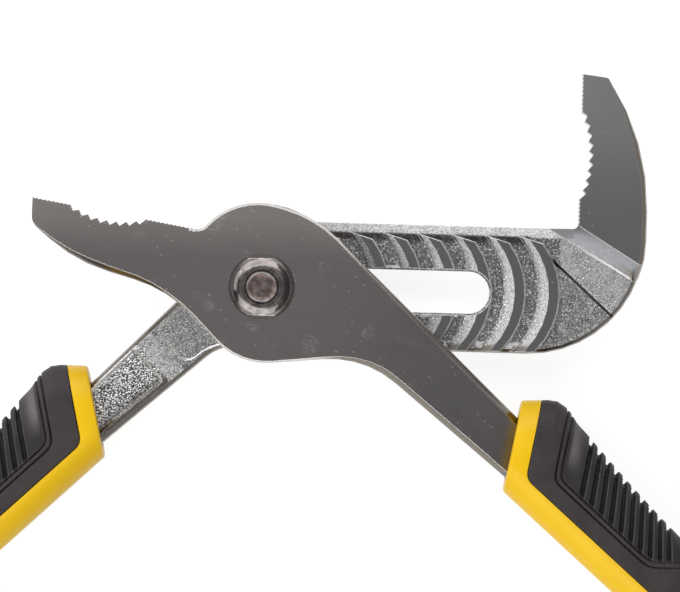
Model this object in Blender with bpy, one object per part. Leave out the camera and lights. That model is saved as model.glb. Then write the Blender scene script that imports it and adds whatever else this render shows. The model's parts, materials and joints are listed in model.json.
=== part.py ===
"""Water pump pliers: two forged levers on a bolt that slides in a slot, with two-part grips.

Metres, +Z up. The pliers lie on their back at z = 0, opened wide. X runs along the slot towards the
slotted lever's jaw, Y towards the jaw tips, and the bolt's axis is at the origin in its widest position.
"""
import math

import bmesh
import bpy
from mathutils import Matrix, Vector

# Fits
CLEARANCE = 0.0003
OPEN_ANGLE = 80.5

# Thicknesses, from the bench up
HEAD_HEIGHT = 0.0033
SLOTTED_THICKNESS = 0.0060
GROOVE_DEPTH = 0.0016
TONGUE_THICKNESS = 0.0070
GRIP_THICKNESS = 0.0200
TANG_THICKNESS = 0.0064
JAW_THICKNESS = 0.0084

# Pivot bolt and nut
HEAD_DIAMETER = 0.0160
HEAD_CHAMFER = 0.0008
NECK_WIDTH = 0.0096
NECK_LENGTH = 0.0106
SHANK_DIAMETER = 0.0076
END_DISH = 0.0006
END_RIM = 0.0006
NUT_DIAMETER = 0.0152
NUT_FLATS = 0.01385
NUT_FACE = 0.0104
NUT_HEIGHT = 0.0027
NUT_RIM = 0.0010
NUT_DOME = 0.0008
SPOTFACE_DEPTH = 0.0006

# Slotted body: rail edges are measured from the slot's middle line
GROOVE_PITCH = 0.00826
POSITIONS = 7
RAIL_UPPER = 0.0161
RAIL_LOWER = 0.0144
RAIL_CHAMFER = 0.0022
RAIL_CHAMFER_DEPTH = 0.0012
RAIL_END_RADIUS = 0.0060
FORK_FILLET = 0.0120
HEEL_RADIUS = 0.0280
LAND_WIDTH = 0.0027
LAND_SLOPE = 0.0026
LAND_CHAMFER = 0.0003
SLOT_FLARE = 0.0004
LAND_END = 0.0133
LAND_END_SLANT = 0.0011
PAD_END = 0.0262
PAD_STEP = 0.0006
PAD_MARGIN = 0.0004
PAD_RIM = 0.0016
PAD_CORNER = 0.0030

# Hub of the tongue lever: distances of its edges from the bolt's axis
HUB_RADIUS = 0.0199
HEEL_DISTANCE = HUB_RADIUS - 0.0029
WAIST_DISTANCE = HUB_RADIUS - 0.0014
LAND_RADIUS = HUB_RADIUS
NECK_FILLET = 0.0030
NECK_BACK_FILLET = 0.0320
SHOULDER_RADIUS = 0.0300
WAIST_RADIUS = 0.0240

# Jaws
TONGUE_FACE = 0.0107
TONGUE_JAW_TIP = 0.0584
TONGUE_JAW_BACK = 0.0032
TONGUE_BACK_RADIUS = 0.0380
TONGUE_END_WIDTH = 0.0063
TONGUE_TIP_RADIUS = 0.0040
SLOTTED_FACE_GAP = 0.0065
SLOTTED_JAW_TIP = 0.0535
SLOTTED_JAW_DEPTH = 0.0165
SLOTTED_BACK_RADIUS = 0.0550
SLOTTED_END_WIDTH = 0.0056
SLOTTED_TIP_RADIUS = 0.0010
JAW_ROOT_FILLET = 0.0012
CREASE_GAP = 0.0013
CREASE_RISE = 0.0006
CREASE_WIDTH = 0.0008
RAMP_GAP = 0.0037
RAMP_WIDTH = 0.0042
FINE_LENGTH = 0.0092
FINE_PITCH = 0.0010
FINE_DEPTH = 0.00025
BOWL_PITCH = 0.00235
BOWL_DEPTH = 0.0021
TONGUE_BOWL_TEETH = 8
SLOTTED_BOWL_TEETH = 9
TOOTH_DEPTH = 0.0010
TOOTH_LEAN = 0.38

# Rounded edges: the usual width and depth, the profile's points as shares of the two, and the
# length over which the edge runs out to nothing at a jaw's tip
EDGE_ROUNDING = 0.0014
EDGE_DEPTH = 0.0020
EDGE_PROFILE = ((0, 1), (0.268, 0.423), (1, 0))
EDGE_TAPER = 0.0150

# Handles, each in a frame whose first axis runs along the grip's inner edge
TONGUE_HANDLE_ANGLE = -121.7
TONGUE_GRIP_START = 0.0763
TONGUE_GRIP_OFFSET = 0.0033
SLOTTED_HANDLE_ANGLE = -136.6
SLOTTED_GRIP_START = 0.0557
SLOTTED_GRIP_OFFSET = -0.0053
TANG_INSET = 0.0029
TANG_WIDTH = 0.0122
TANG_LENGTH = 0.0850
SHANK_TAPER = 2.1
FULLER_GAP = 0.0060
FULLER_RIM = 0.0022
FULLER_DEPTH = 0.0006
JOGGLE_LENGTH = 0.0140

# Grips
GRIP_LENGTH = 0.1140
GRIP_FRONT_WIDTH = 0.0192
GRIP_GUARD_WIDTH = 0.0253
GRIP_GUARD_START = 0.0100
GRIP_GUARD_AT = 0.0130
GRIP_WAIST_WIDTH = 0.0208
GRIP_WAIST_AT = 0.0560
GRIP_END_WIDTH = 0.0225
GRIP_SLANT = 0.60
COLLAR_LENGTH = 0.0057
BAND_WIDTH = 0.0063
COVER_WALL = 0.0028
GRIP_INNER_RADIUS = 0.0065
GRIP_OUTER_RADIUS = 0.0075
LIP_ROUNDING = 0.0005
RIBS = 10
RIB_PITCH = 0.0028
RIB_START = 0.0064
RIB_GAP = 0.0012
RIB_DEPTH = 0.0013
RIB_FOOT = 0.0065
RIB_LEAN = 0.61
RIB_FAN = 0.27

# Levels worked out from the thicknesses
SLOTTED_REAR = HEAD_HEIGHT + CLEARANCE
LAND_TOP = SLOTTED_REAR + SLOTTED_THICKNESS
FLOOR = LAND_TOP - GROOVE_DEPTH
TONGUE_REAR = LAND_TOP + CLEARANCE
TONGUE_FRONT = TONGUE_REAR + TONGUE_THICKNESS
TANG_REAR = (GRIP_THICKNESS - TANG_THICKNESS) / 2
TANG_FRONT = TANG_REAR + TANG_THICKNESS
SLOT_TRAVEL = (POSITIONS - 1) * GROOVE_PITCH
ARC_STEP = math.radians(9)


def polar(angle, length=1.0):
    """A plan vector at an angle in degrees."""
    return Vector((math.cos(math.radians(angle)), math.sin(math.radians(angle)))) * length


def meet(first, second):
    """Where two lines cross, each given by its outward normal and its distance from the origin."""
    (n, d), (m, e) = first, second
    scale = n.x * m.y - n.y * m.x
    return Vector(((d * m.y - e * n.y) / scale, (n.x * e - m.x * d) / scale))


def corners(edges):
    """The corner after each edge (normal, distance, corner radius) of a closed outline."""
    following = edges[1:] + edges[:1]
    return [(meet(a[:2], b[:2]), a[2]) for a, b in zip(edges, following)]


def rounded(points):
    """An outline through (corner, radius) pairs, its corners replaced by arcs that fit their edges."""
    count = len(points)
    spots = [p for p, _ in points]
    halves, setbacks = [], []
    for i, (spot, radius) in enumerate(points):
        half = (spots[i - 1] - spot).angle(spots[(i + 1) % count] - spot) / 2
        halves.append(half)
        setbacks.append(radius / math.tan(half))
    room = [(spots[(i + 1) % count] - spots[i]).length * 0.98 for i in range(count)]
    share = [min(1.0, room[i] / max(setbacks[i] + setbacks[(i + 1) % count], 1e-9)) for i in range(count)]
    outline = []
    for i, (spot, radius) in enumerate(points):
        if radius == 0:
            outline.append(spot)
            continue
        setback = setbacks[i] * min(share[i], share[i - 1])
        back = (spots[i - 1] - spot).normalized()
        ahead = (spots[(i + 1) % count] - spot).normalized()
        fitted = setback * math.tan(halves[i])
        centre = spot + (back + ahead).normalized() * (fitted / math.sin(halves[i]))
        start = spot + back * setback - centre
        sweep = start.angle_signed(spot + ahead * setback - centre)
        steps = max(2, math.ceil(abs(sweep) / ARC_STEP))
        for k in range(steps + 1):
            outline.append(centre + Matrix.Rotation(-sweep * k / steps, 2) @ start)
    return outline


def circle(radius, level, steps=40):
    """A ring of points round the bolt's axis."""
    angles = [2 * math.pi * k / steps for k in range(steps)]
    return [Vector((radius * math.cos(a), radius * math.sin(a), level)) for a in angles]


def add_loft(bm, rings):
    """A closed body through rings of equally many points, capped at both ends."""
    loops = [[bm.verts.new(p) for p in ring] for ring in rings]
    count = len(loops[0])
    made = [bm.faces.new(loops[0]), bm.faces.new(loops[-1])]
    for lower, upper in zip(loops, loops[1:]):
        for i in range(count):
            j = (i + 1) % count
            made.append(bm.faces.new((lower[i], lower[j], upper[j], upper[i])))
    bmesh.ops.recalc_face_normals(bm, faces=made)
    return loops


def to_object(bm, name, parent=None):
    """A scene object that holds the finished bmesh."""
    mesh = bpy.data.meshes.new(name)
    bm.to_mesh(mesh)
    bm.free()
    obj = bpy.data.objects.new(name, mesh)
    bpy.context.scene.collection.objects.link(obj)
    obj.parent = parent
    return obj


def solid(name, bodies, parent=None):
    """One object made of lofted bodies, each a list of rings."""
    bm = bmesh.new()
    for rings in bodies:
        add_loft(bm, rings)
    bmesh.ops.connect_verts_nonplanar(bm, angle_limit=0.001, faces=bm.faces)
    return to_object(bm, name, parent)


def prism(outline, low, high):
    """The two rings of an outline's upright prism."""
    return [[(p.x, p.y, z) for p in outline] for z in (low, high)]


def boolean(target, tool, operation):
    """Cut, join or intersect the target with a tool that stays out of the model."""
    step = target.modifiers.new(tool.name, "BOOLEAN")
    step.object = tool
    step.operation = operation
    step.solver = "EXACT"
    tool.hide_render = True
    tool.display_type = "WIRE"


def finish(obj, colour, roughness, metallic):
    """The piece's own material, and smooth shading on its round stretches."""
    material = bpy.data.materials.new(obj.name)
    material.use_nodes = True
    shader = material.node_tree.nodes["Principled BSDF"]
    shader.inputs["Base Color"].default_value = (*colour, 1)
    shader.inputs["Roughness"].default_value = roughness
    shader.inputs["Metallic"].default_value = metallic
    obj.data.materials.append(material)
    obj.data.shade_smooth()
    obj.data.set_sharp_from_angle(angle=math.radians(30))


def with_folds(outline, folds):
    """The outline with a point added where each fold line (normal, distance) crosses it."""
    for normal, distance in folds:
        crossed = []
        for spot, after in zip(outline, outline[1:] + outline[:1]):
            crossed.append(spot)
            here, there = normal.dot(spot) - distance, normal.dot(after) - distance
            if here * there < 0:
                crossed.append(spot.lerp(after, here / (here - there)))
        outline = crossed
    return outline


def inset(outline, amounts):
    """The outline with each point moved into its shape by its own amount."""
    turning = sum(p.x * q.y - p.y * q.x for p, q in zip(outline, outline[1:] + outline[:1]))
    side = math.copysign(1, turning)
    moved = []
    for i, spot in enumerate(outline):
        before = (spot - outline[i - 1]).normalized()
        after = (outline[(i + 1) % len(outline)] - spot).normalized()
        inward = (before + after).normalized().orthogonal() * side
        moved.append(spot + inward * amounts[i])
    return moved


def plate(name, outline, folds, front, rear, softness, parent=None):
    """A forged plate: a plan outline folded along lines, with its own front and rear level at each point.

    Each fold is a line (normal, distance). The width and depth of a point's rounded edge, which meets the
    ground face at a crisp line, come from softness(point, is_front).
    """
    outline = with_folds(outline, folds)
    rings = []
    for forward, level, turns in ((False, rear, (2, 1, 0)), (True, front, (0, 1, 2))):
        sizes = [softness(spot, forward) for spot in outline]
        fall = -1 if forward else 1
        for turn in turns:
            across, down = EDGE_PROFILE[turn]
            ring = inset(outline, [width * across for width, _ in sizes])
            levels = [level(spot) + depth * down * fall for spot, (_, depth) in zip(outline, sizes)]
            rings.append([(*spot, z) for spot, z in zip(ring, levels)])
    bm = bmesh.new()
    loops = add_loft(bm, rings)
    for normal, distance in folds:
        on_fold = [i for i, spot in enumerate(outline) if abs(normal.dot(spot) - distance) < 1e-7]
        for loop in (loops[0], loops[-1]):
            bmesh.ops.connect_verts(bm, verts=[loop[i] for i in on_fold])
    bmesh.ops.remove_doubles(bm, verts=bm.verts, dist=1e-7)
    bmesh.ops.connect_verts_nonplanar(bm, angle_limit=0.001, faces=bm.faces)
    return to_object(bm, name, parent)


class Handle:
    """One lever's handle frame: along the grip's inner edge, and outwards across it."""

    def __init__(self, angle, start, offset, side):
        self.along = polar(angle)
        self.out = Vector((-self.along.y, self.along.x)) * side
        self.start = start
        self.offset = offset

    def point(self, u, v):
        """The plan point u past the grip's inner front corner and v out from its inner edge."""
        return self.along * (self.start + u) + self.out * (self.offset + v)

    def reach(self, spot):
        """How far along the handle a plan point lies, from the bolt."""
        return self.along.dot(spot)

    def side_edge(self, outer, growth=0.0):
        """The shank's outer or inner edge, moved outwards by growth, as normal and distance."""
        sign = 1 if outer else -1
        normal = (self.out * sign + self.along * math.tan(math.radians(SHANK_TAPER))).normalized()
        spot = self.point(0, TANG_INSET + (TANG_WIDTH if outer else 0))
        return normal, normal.dot(spot) + growth

    def end_edge(self, growth=0.0):
        """The tang's far end, as normal and distance."""
        return self.along, self.start + TANG_LENGTH + growth

    def joggle_end(self):
        """Where the shank has reached the grip's middle plane, just ahead of the collar."""
        return self.start - GRIP_SLANT * (TANG_INSET + TANG_WIDTH) - LIP_ROUNDING


def ramp(value, start, end, low, high):
    """Low before start, high after end, and straight between them."""
    share = min(1.0, max(0.0, (value - start) / (end - start)))
    return low + (high - low) * share


def fine_teeth(top, bottom):
    """Small teeth down a straight stretch, as (depth, height), ending on a crest."""
    count = max(1, round((top - bottom) / FINE_PITCH))
    pitch = (top - bottom) / count
    points = []
    for k in range(count):
        points.append((FINE_DEPTH, top - (k + 0.5) * pitch))
        points.append((0.0, top - (k + 1) * pitch))
    return points


def gripping_face(tip, base, bowl_teeth):
    """A jaw's face from its tip to its base, as (depth, height): fine teeth, a toothed bowl, fine teeth."""
    top = tip - FINE_LENGTH
    bottom = top - bowl_teeth * BOWL_PITCH
    points = fine_teeth(tip, top)

    def bowl(height):
        across = (2 * height - top - bottom) / (top - bottom)
        return BOWL_DEPTH * (1 - across * across)

    for k in range(bowl_teeth):
        root = top - (k + TOOTH_LEAN) * BOWL_PITCH
        crest = top - (k + 1) * BOWL_PITCH
        points.append((bowl(root) + TOOTH_DEPTH, root))
        points.append((bowl(crest), crest))
    return points + fine_teeth(bottom, base)


def tongue_outline(handle):
    """The tongue lever in plan, with its jaw upright as when it grips in parallel."""
    tip, tip_back, back = polar(98.6), polar(150), polar(174)
    tip_corner = Vector((TONGUE_FACE, TONGUE_JAW_TIP)) - Vector((tip.y, -tip.x)) * TONGUE_END_WIDTH
    bowl_middle = TONGUE_JAW_TIP - FINE_LENGTH - TONGUE_BOWL_TEETH * BOWL_PITCH / 2
    edges = [
        (polar(0), TONGUE_FACE, NECK_FILLET),
        (polar(58), HUB_RADIUS, HUB_RADIUS),
        (polar(-5), HUB_RADIUS, SHOULDER_RADIUS),
        (*handle.side_edge(True), 0),
        (*handle.end_edge(), 0),
        (*handle.side_edge(False), WAIST_RADIUS),
        (polar(195.3), WAIST_DISTANCE, HEEL_DISTANCE),
        (polar(143.8), HEEL_DISTANCE, NECK_BACK_FILLET),
        (back, back.dot(Vector((-TONGUE_JAW_BACK, bowl_middle))), TONGUE_BACK_RADIUS),
        (tip_back, tip_back.dot(tip_corner), TONGUE_TIP_RADIUS),
        (tip, tip.dot(Vector((TONGUE_FACE, TONGUE_JAW_TIP))), 0),
    ]
    outline = rounded(corners(edges))
    teeth = gripping_face(TONGUE_JAW_TIP, outline[0].y, TONGUE_BOWL_TEETH)
    return outline + [Vector((TONGUE_FACE - d, h)) for d, h in teeth[:-1]]


def make_tongue_lever(parent, handle):
    """The front lever: left jaw, hub, handle, the curved tongue behind the hub, and the bolt's hole."""
    joggle_end = handle.joggle_end()
    joggle_start = joggle_end - JOGGLE_LENGTH

    def front(spot):
        return ramp(handle.reach(spot), joggle_start, joggle_end, TONGUE_FRONT, TANG_FRONT)

    def rear(spot):
        return ramp(handle.reach(spot), joggle_start, joggle_end, TONGUE_REAR, TANG_REAR)

    def softness(spot, forward):
        on_face = spot.y > HUB_RADIUS and spot.x > TONGUE_FACE / 2
        if on_face or handle.reach(spot) > joggle_end + CLEARANCE:
            return 0.0, 0.0
        share = ramp(spot.length, 1.1 * HUB_RADIUS, 1.7 * HUB_RADIUS, 0.35, 1)
        share *= ramp(spot.y, TONGUE_JAW_TIP - EDGE_TAPER, TONGUE_JAW_TIP, 1, 0)
        return EDGE_ROUNDING * share, EDGE_DEPTH * share

    folds = [(handle.along, joggle_start), (handle.along, joggle_end)]
    lever = plate("tongue_lever", tongue_outline(handle), folds, front, rear, softness, parent)
    boolean(lever, solid("tongue_rib", [tongue_rings()], parent), "UNION")
    hole = [circle(SHANK_DIAMETER / 2 + CLEARANCE, z) for z in (0, 2 * TONGUE_FRONT)]
    boolean(lever, solid("bolt_hole", [hole], parent), "DIFFERENCE")
    seat_level = TONGUE_FRONT - SPOTFACE_DEPTH
    seat = [circle(NUT_DIAMETER / 2 + CLEARANCE, z) for z in (seat_level, 2 * TONGUE_FRONT)]
    boolean(lever, solid("nut_seat", [seat], parent), "DIFFERENCE")
    finish(lever, (0.14, 0.135, 0.13), 0.28, 1.0)


def tongue_rings():
    """The tongue: an arc that turns into the groove beside the bolt's place as the jaws close."""
    land_corner = Vector((LAND_WIDTH - GROOVE_PITCH + math.sqrt(LAND_RADIUS**2 - LAND_END**2), LAND_END))
    inner = land_corner.length + CLEARANCE
    slope = math.atan2(GROOVE_DEPTH, LAND_SLOPE)
    tip = FLOOR + CLEARANCE
    root = TONGUE_REAR + CLEARANCE

    def outer(level):
        foot = LAND_RADIUS - LAND_SLOPE + (level - FLOOR) / math.tan(slope)
        return foot - CLEARANCE / math.sin(slope)

    span = 90 - math.degrees(math.asin((LAND_END + CLEARANCE) / inner))
    middle = 90 - OPEN_ANGLE
    rings = []
    for k in range(9):
        way = polar(middle + span * (k / 4 - 1))
        section = ((inner, tip), (outer(tip), tip), (outer(root), root), (inner, root))
        rings.append([(*(way * radius), level) for radius, level in section])
    return rings


def slotted_outline(handle, face):
    """The slotted lever in plan."""
    back = face + SLOTTED_JAW_DEPTH
    tip, tip_back = polar(83), polar(35)
    tip_corner = Vector((face + SLOTTED_END_WIDTH, SLOTTED_JAW_TIP))
    edges = [
        (polar(180), -face, 0),
        (tip, tip.dot(Vector((face, SLOTTED_JAW_TIP))), SLOTTED_TIP_RADIUS),
        (tip_back, tip_back.dot(tip_corner), SLOTTED_BACK_RADIUS),
        (polar(0), back, HEEL_RADIUS),
        (polar(-90), RAIL_LOWER, FORK_FILLET),
        (*handle.side_edge(False), 0),
        (*handle.end_edge(), 0),
        (*handle.side_edge(True), RAIL_END_RADIUS),
        (polar(90), RAIL_UPPER, JAW_ROOT_FILLET),
    ]
    outline = rounded(corners(edges))
    teeth = gripping_face(SLOTTED_JAW_TIP, outline[-1].y, SLOTTED_BOWL_TEETH)
    return outline + [Vector((face + d, h)) for d, h in teeth[:-1]][::-1]


def make_slotted_lever(handle):
    """The rear lever: right jaw on its ramp, grooved body with the slot, bearing pad and handle."""
    slot_end = Vector((SLOT_TRAVEL, 0))
    face = SLOT_TRAVEL + HUB_RADIUS + SLOTTED_FACE_GAP
    rise = polar(60)
    ramp_foot = rise.dot(slot_end) + HUB_RADIUS + RAMP_GAP
    ramp_top = ramp_foot + RAMP_WIDTH
    crease = polar(48.2)
    crease_top = crease.dot(slot_end) + HUB_RADIUS + LAND_WIDTH * crease.x - CREASE_GAP
    joggle_end = handle.joggle_end()
    joggle_start = joggle_end - JOGGLE_LENGTH
    shank_start = PAD_END - PAD_CORNER
    hidden_start = shank_start - PAD_CORNER
    fuller_start = PAD_END + FULLER_GAP
    shank_front = LAND_TOP - PAD_STEP
    jaw_rear = TONGUE_FRONT - JAW_THICKNESS

    def front(spot):
        level = ramp(rise.dot(spot), ramp_foot, ramp_top, FLOOR, TONGUE_FRONT - CREASE_RISE)
        level += ramp(crease.dot(spot), crease_top - CREASE_WIDTH, crease_top, 0, CREASE_RISE)
        level += ramp(handle.reach(spot), hidden_start, shank_start, 0, shank_front - FLOOR)
        return level + ramp(handle.reach(spot), joggle_start, joggle_end, 0, TANG_FRONT - shank_front)

    def rear(spot):
        level = ramp(rise.dot(spot), ramp_foot, ramp_top, SLOTTED_REAR, jaw_rear)
        return level + ramp(handle.reach(spot), joggle_start, joggle_end, 0, TANG_REAR - SLOTTED_REAR)

    def softness(spot, forward):
        on_face = spot.y > RAIL_UPPER and spot.x < face + SLOTTED_JAW_DEPTH / 3
        if on_face or handle.reach(spot) > joggle_end + CLEARANCE:
            return 0.0, 0.0
        if forward and spot.y > RAIL_UPPER - CLEARANCE and spot.x < face:
            return RAIL_CHAMFER, RAIL_CHAMFER_DEPTH
        share = ramp(spot.y, SLOTTED_JAW_TIP - EDGE_TAPER, SLOTTED_JAW_TIP, 0.8, 0)
        return EDGE_ROUNDING * share, EDGE_DEPTH * share

    def fuller_rings():
        """The shallow trough along the front of the shank, with sloped sides, up to and into the grip."""
        rings = []
        for reach, depth in ((fuller_start, -FULLER_DEPTH), (fuller_start + 2 * FULLER_DEPTH, FULLER_DEPTH),
                             (joggle_end, FULLER_DEPTH), (handle.start, FULLER_DEPTH)):
            across = (handle.along, reach)
            low = meet(across, handle.side_edge(False, -FULLER_RIM))
            high = meet(across, handle.side_edge(True, -FULLER_RIM / 2))
            side = (high - low).normalized() * FULLER_DEPTH
            floor = front(handle.along * reach) - depth
            rings.append([(*(low - side), floor + 2 * FULLER_DEPTH), (*(low + side), floor),
                          (*(high - side), floor), (*(high + side), floor + 2 * FULLER_DEPTH)])
        return rings

    folds = [(rise, ramp_foot), (rise, ramp_top), (crease, crease_top - CREASE_WIDTH), (crease, crease_top)]
    folds += [(handle.along, s) for s in (hidden_start, shank_start, joggle_start, joggle_end)]
    lever = plate("slotted_lever", slotted_outline(handle, face), folds, front, rear, softness)
    lands = [land_rings(k * GROOVE_PITCH) for k in range(POSITIONS)]
    boolean(lever, solid("bearing_pad", [pad_rings(handle)]), "UNION")
    boolean(lever, solid("groove_lands", lands), "UNION")
    slot = []
    for flares, level in ((0, 0), (0, FLOOR - SLOT_FLARE), (1, FLOOR), (2, 2 * LAND_TOP)):
        room = 2 * (CLEARANCE + flares * SLOT_FLARE)
        outline = slot_outline(NECK_WIDTH + room, NECK_LENGTH + room, SLOT_TRAVEL)
        slot.append([(p.x, p.y, level) for p in outline])
    boolean(lever, solid("shank_fuller", [fuller_rings()]), "DIFFERENCE")
    boolean(lever, solid("bolt_slot", [slot]), "DIFFERENCE")
    finish(lever, (0.36, 0.355, 0.35), 0.38, 1.0)


def slot_outline(width, length, travel):
    """A round-ended outline for something of this width and length at every place of its travel."""
    radius = width / 2
    reach = (length - width) / 2
    right = [Vector((travel + reach, 0)) + polar(a, radius) for a in range(-90, 91, 12)]
    left = [Vector((-reach, 0)) + polar(a, radius) for a in range(90, 271, 12)]
    return right + left


def land_rings(place):
    """One raised land: an arc with a sloped left side and a steep, chamfered right side."""
    bottom = FLOOR - EDGE_ROUNDING
    spread = LAND_SLOPE / GROOVE_DEPTH * EDGE_ROUNDING
    lowest = PAD_MARGIN - RAIL_LOWER
    rings = []
    for k in range(9):
        left_y = LAND_END + (lowest - LAND_END) * k / 8
        right_y = LAND_END - LAND_END_SLANT + (lowest - LAND_END + LAND_END_SLANT) * k / 8
        left = Vector((place + math.sqrt(LAND_RADIUS**2 - left_y**2), left_y))
        right = Vector((place + LAND_WIDTH + math.sqrt(LAND_RADIUS**2 - right_y**2), right_y))
        foot = left + (left - right).normalized() * (LAND_SLOPE + spread)
        crest = right.lerp(left, LAND_CHAMFER / LAND_WIDTH)
        rings.append([(*foot, bottom), (*left, LAND_TOP), (*crest, LAND_TOP),
                      (*right, LAND_TOP - LAND_CHAMFER), (*right, bottom)])
    return rings


def pad_rings(handle):
    """The raised pad round the slot's left end that the hub bears on, down to the step on the shank."""
    lower = (polar(-90), RAIL_LOWER - PAD_MARGIN)
    upper = (polar(90), LAND_END)
    inner = handle.side_edge(False, -PAD_RIM)
    step = (handle.along, PAD_END)
    outer = handle.side_edge(True, -PAD_RIM)
    wall = []
    for k in range(9):
        y = LAND_END + (PAD_MARGIN - RAIL_LOWER - LAND_END) * k / 8
        wall.append(Vector((LAND_WIDTH - GROOVE_PITCH + math.sqrt(LAND_RADIUS**2 - y * y), y)))
    left_side = rounded([
        (wall[-1], 0),
        (meet(lower, inner), FORK_FILLET),
        (meet(inner, step), PAD_CORNER),
        (meet(step, outer), PAD_CORNER / 4),
        (meet(outer, upper), RAIL_END_RADIUS),
        (wall[0], 0),
    ])
    outline = left_side + wall[1:-1]
    crest = inset(outline, [LAND_CHAMFER] * len(outline))
    rings = prism(outline, SLOTTED_REAR + CLEARANCE, LAND_TOP - LAND_CHAMFER)
    return rings + [[(p.x, p.y, LAND_TOP) for p in crest]]


def make_bolt():
    """The bolt: head under the slot, round-ended neck in the slot, round shank with a dished end."""
    head = HEAD_DIAMETER / 2
    bolt = solid("pivot_bolt", [[
        circle(head - HEAD_CHAMFER, 0),
        circle(head, HEAD_CHAMFER),
        circle(head, HEAD_HEIGHT),
    ]])
    neck = slot_outline(NECK_WIDTH, NECK_LENGTH, 0)
    boolean(bolt, solid("bolt_neck", [prism(neck, HEAD_HEIGHT / 2, LAND_TOP)]), "UNION")
    shank = SHANK_DIAMETER / 2
    end = TONGUE_FRONT - SPOTFACE_DEPTH + CLEARANCE + NUT_HEIGHT
    rings = [circle(shank, LAND_TOP / 2), circle(shank, end), circle(shank - END_RIM, end)]
    rings.append(circle(shank - 2 * END_RIM, end - END_DISH))
    boolean(bolt, solid("bolt_shank", [rings]), "UNION")
    finish(bolt, (0.30, 0.29, 0.28), 0.35, 1.0)


def make_nut():
    """The round nut with a domed rim and two flats along the slot."""
    low = TONGUE_FRONT - SPOTFACE_DEPTH + CLEARANCE
    top = low + NUT_HEIGHT
    outer = NUT_DIAMETER / 2
    face = NUT_FACE / 2
    shoulder = face + 0.7 * (outer - face)
    nut = solid("pivot_nut", [[
        circle(outer, low),
        circle(outer, low + NUT_RIM),
        circle(shoulder, top - NUT_DOME),
        circle(face, top),
    ]])
    flats = [Vector((x * NUT_DIAMETER, y * NUT_FLATS / 2)) for x, y in ((1, -1), (1, 1), (-1, 1), (-1, -1))]
    boolean(nut, solid("nut_flats", [prism(flats, 0, 2 * top)]), "INTERSECT")
    bore = [circle(SHANK_DIAMETER / 2 + CLEARANCE, z) for z in (0, 2 * top)]
    boolean(nut, solid("nut_bore", [bore]), "DIFFERENCE")
    finish(nut, (0.32, 0.31, 0.30), 0.30, 1.0)


def grip_width(u):
    """The grip's width at a station: out to the finger guard, in to the waist, out to the end."""
    if u < GRIP_GUARD_AT:
        return ramp(u, 0, GRIP_GUARD_START, GRIP_FRONT_WIDTH, GRIP_GUARD_WIDTH)
    if u < GRIP_WAIST_AT:
        fall = (u - GRIP_GUARD_AT) / (GRIP_WAIST_AT - GRIP_GUARD_AT)
        return GRIP_WAIST_WIDTH + (GRIP_GUARD_WIDTH - GRIP_WAIST_WIDTH) * (1 - fall) ** 2
    rise = (u - GRIP_WAIST_AT) / (GRIP_LENGTH - GRIP_WAIST_AT)
    return GRIP_WAIST_WIDTH + (GRIP_END_WIDTH - GRIP_WAIST_WIDTH) * math.sin(rise * math.pi / 2) ** 2


def grip_section(u, shrink, wall):
    """A ring across the grip: a rounded box drawn in by shrink at the ends and by a wall for the core."""
    inset = shrink + wall
    slant = ramp(u, GRIP_GUARD_AT, GRIP_WAIST_AT, GRIP_SLANT, 0)
    low, high = inset, GRIP_THICKNESS - inset
    near, far = inset, grip_width(u) - inset
    inner = max(GRIP_INNER_RADIUS - wall, GRIP_INNER_RADIUS / 3)
    outer = max(GRIP_OUTER_RADIUS - wall, GRIP_OUTER_RADIUS / 3)
    ring = []
    for v, z, radius, start in ((far, low, outer, -90), (far, high, outer, 0),
                                (near, high, inner, 90), (near, low, inner, 180)):
        fitted = min(radius, (high - low) * 0.48, (far - near) * 0.48)
        centre = Vector((v - math.copysign(fitted, v - GRIP_WAIST_WIDTH / 2),
                         z - math.copysign(fitted, z - GRIP_THICKNESS / 2)))
        for k in range(5):
            spot = centre + polar(start + 22.5 * k, fitted)
            ring.append(Vector((u - slant * spot.x, spot.x, spot.y)))
    return ring


def grip_rings(start, end, wall=0.0):
    """Rings along a grip body, rounded at its lip and more roundly at its far end."""
    lip = ((0, 1), (0.3, 0.3), (1, 0))
    rings = [grip_section(start + LIP_ROUNDING * u, LIP_ROUNDING * shrink, wall) for u, shrink in lip]
    for share in (0.2, 0.4, 0.73, 1.0, 1.5, 2.0, 2.7, 3.5):
        if share * GRIP_GUARD_AT > start + LIP_ROUNDING:
            rings.append(grip_section(share * GRIP_GUARD_AT, 0, wall))
    straight = end - GRIP_OUTER_RADIUS - GRIP_WAIST_AT
    rings += [grip_section(GRIP_WAIST_AT + straight * k / 4, 0, wall) for k in range(4)]
    for angle in (0, 30, 55, 75):
        turn = math.radians(angle)
        u = end - GRIP_OUTER_RADIUS * (1 - math.sin(turn))
        rings.append(grip_section(u, GRIP_OUTER_RADIUS * (1 - math.cos(turn)), wall))
    return rings


def cover_zone(growth):
    """The part of the grip in plan that the soft cover takes, moved outwards by growth."""
    slope = Vector((1, GRIP_SLANT)).normalized()
    collar = (-slope, -(COLLAR_LENGTH * slope.x) + growth)
    band = (Vector((0, -1)), -BAND_WIDTH + growth)
    far = (Vector((1, 0)), 2 * GRIP_LENGTH)
    outer = (Vector((0, 1)), 2 * GRIP_GUARD_WIDTH)
    return rounded([
        (meet(collar, band), 0.0035),
        (meet(band, far), 0),
        (meet(far, outer), 0),
        (meet(outer, collar), 0),
    ])


def rib_gaps(reach):
    """The channels between the cover's ribs, fanning out along the grip from its finger guard."""
    gaps = []
    for k in range(RIBS):
        lean = RIB_LEAN + RIB_FAN * k / (RIBS - 1)
        top = Vector((RIB_START + k * RIB_PITCH, GRIP_GUARD_WIDTH))
        foot = Vector((top.x + lean * (top.y - BAND_WIDTH - RIB_FOOT), BAND_WIDTH + RIB_FOOT))
        half = Vector((1, lean)).normalized() * RIB_GAP / 2
        gaps.append(prism([foot - half, foot + half, top + half, top - half], -reach, reach))
    return gaps


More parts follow.
